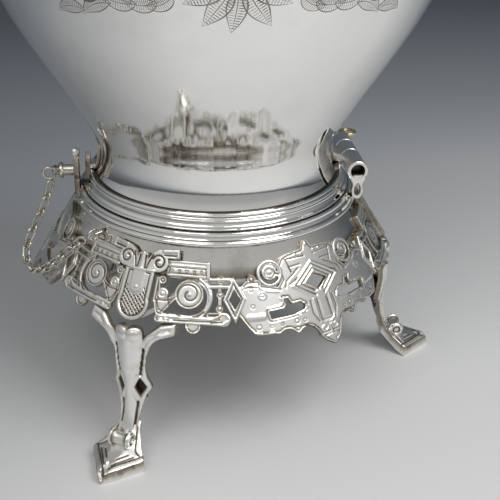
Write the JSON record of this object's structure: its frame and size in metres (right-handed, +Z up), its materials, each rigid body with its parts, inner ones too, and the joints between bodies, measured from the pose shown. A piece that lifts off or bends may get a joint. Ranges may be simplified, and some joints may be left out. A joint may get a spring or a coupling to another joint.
{
  "type": "spirit kettle on stand",
  "caption": "Pear-shaped silver kettle that tilts on a three-legged stand with a pierced strapwork apron, a lock pin on a chain and a spirit lamp.",
  "frame": {"origin": "on the table, under the kettle's axis", "axes": "+Z up along the kettle's axis, +X towards the spout and the tilt hinge, -X towards the lock pin"},
  "size_m": [0.2777, 0.208, 0.3992],
  "materials": {
    "silver": "polished silver",
    "pin_metal": "worn gilt",
    "ivory_grip": "polished",
    "ivory_washer": "polished",
    "wick": "woven cotton"
  },
  "bodies": {
    "stand": {"stand_ring": "silver", "stand_skirt": "silver", "apron_front": "silver", "apron_lock": "silver", "apron_back": "silver", "crest_front": "silver", "crest_back": "silver", "crest_hinge": "silver", "leg_front": "silver", "leg_back": "silver", "leg_hinge": "silver", "stand_lock_lug": "silver", "stand_tube_near": "silver", "stand_tube_far": "silver", "chain_eye": "silver", "chain_stand_side": "silver", "lamp_ring": "silver", "lamp_arm_front": "silver", "lamp_arm_back": "silver", "lamp_arm_hinge": "silver"},
    "kettle": {"kettle_body": "silver", "kettle_foot": "silver", "kettle_tube": "silver", "hinge_leaf": "silver", "lock_leaf": "silver", "kettle_lock_lug": "silver", "mouth_rim": "silver", "spout": "silver", "handle_post_spout": "silver", "handle_post_rear": "silver", "handle_pin_spout": "silver", "handle_pin_rear": "silver", "lid_hinge_tubes": "silver", "lid_hinge_pin": "silver"},
    "lid": {"lid": "silver", "lid_tube": "silver", "lid_washer": "ivory_washer", "lid_knob": "silver"},
    "handle": {"handle_arm_spout": "silver", "handle_arm_rear": "silver", "handle_grip": "ivory_grip", "grip_washer_spout": "ivory_washer", "grip_washer_rear": "ivory_washer"},
    "lock_pin": {"lock_pin": "silver", "chain_pin_side": "silver"},
    "hinge_pin": {"hinge_pin": "pin_metal"},
    "lamp": {"lamp_bowl": "silver", "lamp_collar": "silver", "lamp_wick": "wick"},
    "lamp_cap": {"lamp_cap": "silver"}
  },
  "joints": [
    {"name": "kettle_tilt", "type": "hinge", "parent": "stand", "child": "kettle", "pos_m": [0.0635, 0, 0.1084], "axis": [0, 1, 0], "range_deg": [0, 50]},
    {"name": "lid_open", "type": "hinge", "parent": "kettle", "child": "lid", "pos_m": [0, 0.0511, 0.2873], "axis": [-1, 0, 0], "range_deg": [0, 80]},
    {"name": "handle_swing", "type": "hinge", "parent": "kettle", "child": "handle", "pos_m": [0, 0, 0.2797], "axis": [1, 0, 0], "range_deg": [-70, 70]},
    {"name": "lock_pin_slide", "type": "slide", "parent": "stand", "child": "lock_pin", "axis": [-1, 0, 0], "range_m": [-0.0042, 0.012], "deforming": ["chain_pin_side"]},
    {"name": "hinge_pin_draw", "type": "slide", "parent": "stand", "child": "hinge_pin", "axis": [0, 1, 0], "range_m": [0, 0.045]},
    {"name": "lamp_lift", "type": "slide", "parent": "stand", "child": "lamp", "axis": [0, 0, 1], "range_m": [0, 0.012]},
    {"name": "cap_lift", "type": "slide", "parent": "lamp", "child": "lamp_cap", "axis": [0, 0, 1], "range_m": [0, 0.012]}
  ]
}
